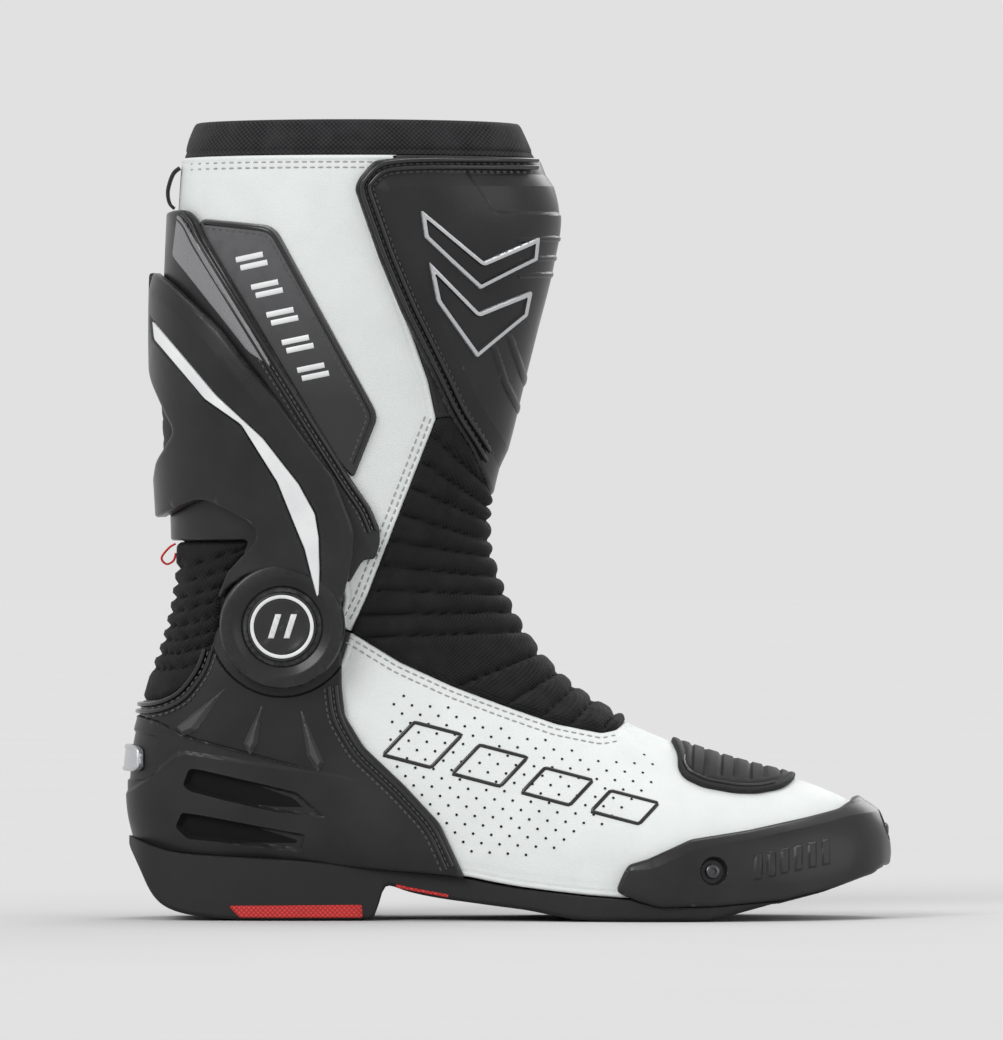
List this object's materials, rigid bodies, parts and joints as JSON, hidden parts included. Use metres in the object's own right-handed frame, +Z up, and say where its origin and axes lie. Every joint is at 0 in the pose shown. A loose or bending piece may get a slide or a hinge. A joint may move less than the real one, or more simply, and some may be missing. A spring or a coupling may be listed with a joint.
{
  "type": "motorcycle racing boot",
  "caption": "Right-foot motorcycle racing boot with a hinged ankle brace, shin and heel armour, toe slider, ribbed stretch panels, inner side zip and cuff flap.",
  "frame": {"origin": "on the ground under the heel tread, straight below the ankle hinge axis", "axes": "+X to the toe, +Z up, -Y to the outer side"},
  "size_m": [0.3078, 0.1138, 0.318],
  "materials": {
    "white_leather": "semi-gloss coated microfibre, white",
    "black_leather": "satin microfibre, black",
    "black_plastic": "moulded polyurethane, satin black",
    "gloss_black": "glossy black",
    "black_rubber": "matte rubber",
    "red_rubber": "matte red rubber with a fine diamond tread",
    "stretch_fabric": "padded stretch weave, black",
    "lining_fabric": "mesh over foam, dark grey",
    "silver": "bright silver moulded badge",
    "white_plastic": "glossy white",
    "steel": "brushed",
    "fibreboard": "pressed fibreboard",
    "foam": "moulded foam footbed with a fabric face",
    "red_ribbon": "woven red tape"
  },
  "bodies": {
    "foot": {"outsole": "black_rubber", "heel_grip_insert": "red_rubber", "arch_grip_insert": "red_rubber", "shank": "steel", "insole_board": "fibreboard", "footbed": "foam", "vamp": "white_leather", "quarter": "black_leather", "toe_puff": "black_plastic", "heel_stiffener": "black_plastic", "lining_foot": "lining_fabric", "front_stretch_panel": "stretch_fabric", "rear_stretch_panel": "stretch_fabric", "ankle_gusset_lateral": "stretch_fabric", "ankle_gusset_medial": "stretch_fabric", "heel_counter": "black_plastic", "counter_rim_piping": "gloss_black", "counter_front_piping_lateral": "gloss_black", "counter_front_piping_medial": "gloss_black", "counter_spike_1": "gloss_black", "counter_spike_2": "gloss_black", "counter_spike_3": "gloss_black", "heel_badge": "silver", "toe_slider": "black_plastic", "toe_slider_screw_side": "steel", "toe_slider_screw_tip": "steel", "shift_pad": "black_rubber", "hinge_socket_lateral": "black_plastic", "hinge_bolt_lateral": "steel", "hinge_cap_lateral": "gloss_black", "hinge_socket_medial": "black_plastic", "hinge_bolt_medial": "steel", "hinge_cap_medial": "gloss_black", "hinge_cap_emblem": "white_plastic"},
    "shaft": {"shaft_panel_lateral": "white_leather", "shaft_panel_medial": "white_leather", "shin_panel": "black_leather", "calf_panel": "black_leather", "lining_shaft": "lining_fabric", "collar": "stretch_fabric", "shin_plate": "black_plastic", "shin_piping": "gloss_black", "shin_emblem_upper": "silver", "shin_emblem_lower": "silver", "side_patch": "gloss_black", "calf_plate": "black_plastic", "calf_guard": "black_rubber", "rear_pull_loop": "black_leather", "red_tab": "red_ribbon", "zip_tape": "stretch_fabric", "zip_chain": "gloss_black"},
    "brace": {"brace": "black_plastic", "brace_inlay": "white_plastic", "hinge_bush_lateral": "steel", "hinge_bush_medial": "steel"},
    "zip_slider": {"zip_slider": "steel"},
    "zip_pull": {"zip_pull": "steel"},
    "cuff_flap": {"cuff_flap": "white_leather"}
  },
  "joints": [
    {"name": "ankle_flex", "type": "hinge", "parent": "foot", "child": "shaft", "pos_m": [0, 0, 0.1165], "axis": [0, 1, 0], "range_deg": [-10, 20], "stiffness_Nm_per_rad": 6, "deforming": ["front_stretch_panel", "rear_stretch_panel", "ankle_gusset_lateral", "ankle_gusset_medial"]},
    {"name": "brace_pivot", "type": "hinge", "parent": "foot", "child": "brace", "pos_m": [0, 0, 0.1165], "axis": [0, 1, 0], "range_deg": [-10, 20]},
    {"name": "zip_slide", "type": "slide", "parent": "shaft", "child": "zip_slider", "axis": [-0.1634, -0.111, -0.9803], "range_m": [0, 0.095]},
    {"name": "zip_pull_swing", "type": "hinge", "parent": "zip_slider", "child": "zip_pull", "pos_m": [0.03551, 0.05401, 0.25904], "axis": [0.978, -0.1488, -0.1462], "range_deg": [0, 150]},
    {"name": "cuff_flap_hinge", "type": "hinge", "parent": "shaft", "child": "cuff_flap", "pos_m": [0.055, 0.0499, 0.2855], "axis": [0, 0, -1], "range_deg": [0, 100]}
  ],
  "couplings": [
    {"joint": "brace_pivot", "follows": "ankle_flex", "ratio": 1}
  ]
}
